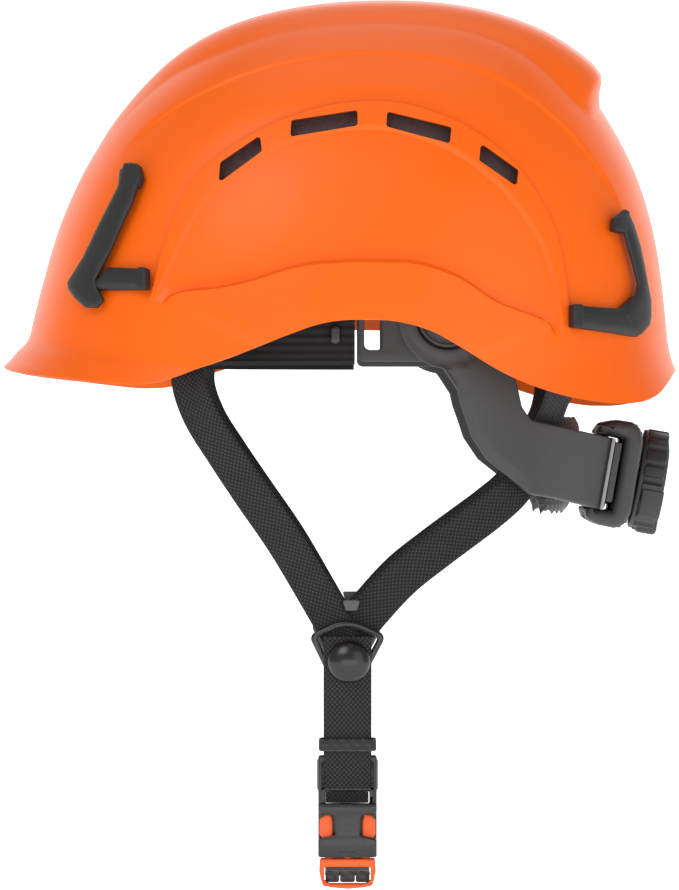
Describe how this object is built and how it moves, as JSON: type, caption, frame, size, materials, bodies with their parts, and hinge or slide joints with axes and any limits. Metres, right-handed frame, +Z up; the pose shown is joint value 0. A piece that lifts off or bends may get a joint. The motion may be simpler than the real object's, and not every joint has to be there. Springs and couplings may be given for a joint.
{
  "type": "arborist helmet",
  "caption": "Climbing and tree-work safety helmet: hard shell with vents and headlamp clips, foam liner, rear ratchet cradle, V straps and chin buckle.",
  "frame": {"origin": "centre of the head opening, in the plane of the headband's lower edge", "axes": "+Z up towards the crown, -X to the front of the helmet, -Y to the wearer's left"},
  "size_m": [0.2845, 0.2148, 0.3722],
  "materials": {
    "shell_orange": "satin",
    "buckle_orange": "satin",
    "grey_plastic": "moulded satin",
    "black_plastic": "matt",
    "webbing": "woven",
    "foam": "matt foam",
    "pad": "soft",
    "mesh": "mesh",
    "steel": "brushed"
  },
  "bodies": {
    "helmet": {"outer_shell": "shell_orange", "impact_liner": "foam", "crown_pad": "pad", "headband_front": "webbing", "sweatband_front": "pad", "buckle_female": "black_plastic", "vent_mesh_left": "mesh", "vent_mesh_right": "mesh", "clip_front_left": "black_plastic", "clip_front_right": "black_plastic", "clip_rear_left": "black_plastic", "clip_rear_right": "black_plastic", "hanger_front_left": "black_plastic", "hanger_front_right": "black_plastic", "hanger_side_left": "black_plastic", "hanger_side_right": "black_plastic", "side_plate_left": "grey_plastic", "side_plate_right": "grey_plastic", "band_stud_left": "black_plastic", "band_stud_right": "black_plastic", "anchor_front_left": "black_plastic", "anchor_front_right": "black_plastic", "anchor_rear_left": "black_plastic", "anchor_rear_right": "black_plastic", "strap_front_left": "webbing", "strap_front_right": "webbing", "strap_rear_left": "webbing", "strap_rear_right": "webbing", "y_buckle_left": "black_plastic", "y_buckle_right": "black_plastic", "y_cap_left": "black_plastic", "y_cap_right": "black_plastic", "chin_strap_left": "webbing", "chin_strap_right": "webbing"},
    "hubs": {"hub_left": "grey_plastic", "hub_right": "grey_plastic"},
    "arm_left": {"arm_left": "grey_plastic"},
    "arm_right": {"arm_right": "grey_plastic"},
    "adjuster": {"adjuster_housing": "grey_plastic", "adjuster_cover": "grey_plastic", "nape_pad": "pad", "detent_pawl": "steel", "cover_screw_1": "steel", "cover_screw_2": "steel", "cover_screw_3": "steel", "cover_screw_4": "steel"},
    "knob": {"adjuster_knob": "grey_plastic", "pinion_shaft": "black_plastic", "knob_screw": "steel", "detent_ring": "steel"},
    "buckle_male": {"buckle_male": "buckle_orange"},
    "prong_left": {"prong_left": "buckle_orange"},
    "prong_right": {"prong_right": "buckle_orange"},
    "keeper": {"strap_keeper": "black_plastic"}
  },
  "joints": [
    {"name": "height_pivot", "type": "hinge", "parent": "helmet", "child": "hubs", "pos_m": [0.0445, 0, 0.0196], "axis": [0, 1, 0], "range_deg": [-6, 12], "deforming": ["strap_rear_left", "strap_rear_right"]},
    {"name": "adjuster_slide", "type": "slide", "parent": "hubs", "child": "adjuster", "axis": [1, 0, 0], "range_m": [-0.0045, 0.0045], "deforming": ["strap_rear_left", "strap_rear_right"]},
    {"name": "arm_left_flex", "type": "hinge", "parent": "hubs", "child": "arm_left", "pos_m": [0.0445, -0.0809, 0.0196], "axis": [0, 0, 1], "range_deg": [-3.3, 3.3]},
    {"name": "arm_right_flex", "type": "hinge", "parent": "hubs", "child": "arm_right", "pos_m": [0.0445, 0.0809, 0.0196], "axis": [0, 0, 1], "range_deg": [-3.3, 3.3]},
    {"name": "knob_turn", "type": "hinge", "parent": "adjuster", "child": "knob", "pos_m": [0.1251, 0, -0.0469], "axis": [0.9848, 0, -0.1736], "range_deg": [-45, 45]},
    {"name": "buckle_release", "type": "slide", "parent": "helmet", "child": "buckle_male", "axis": [0, 0, -1], "range_m": [0, 0.03], "deforming": ["chin_strap_right"]},
    {"name": "prong_left_squeeze", "type": "hinge", "parent": "buckle_male", "child": "prong_left", "pos_m": [-0.0044, -0.066, -0.2045], "axis": [0, 1, 0], "range_deg": [0, 5], "stiffness_Nm_per_rad": 0.02},
    {"name": "prong_right_squeeze", "type": "hinge", "parent": "buckle_male", "child": "prong_right", "pos_m": [0.011, -0.066, -0.2045], "axis": [0, -1, 0], "range_deg": [0, 5], "stiffness_Nm_per_rad": 0.02},
    {"name": "keeper_slide", "type": "slide", "parent": "helmet", "child": "keeper", "axis": [0, -0.1535, 0.9881], "range_m": [0, 0.02]}
  ],
  "couplings": [
    {"joint": "knob_turn", "follows": "adjuster_slide", "rad_per_m": 173.61},
    {"joint": "arm_left_flex", "follows": "adjuster_slide", "rad_per_m": -12.205},
    {"joint": "arm_right_flex", "follows": "adjuster_slide", "rad_per_m": 12.5}
  ]
}
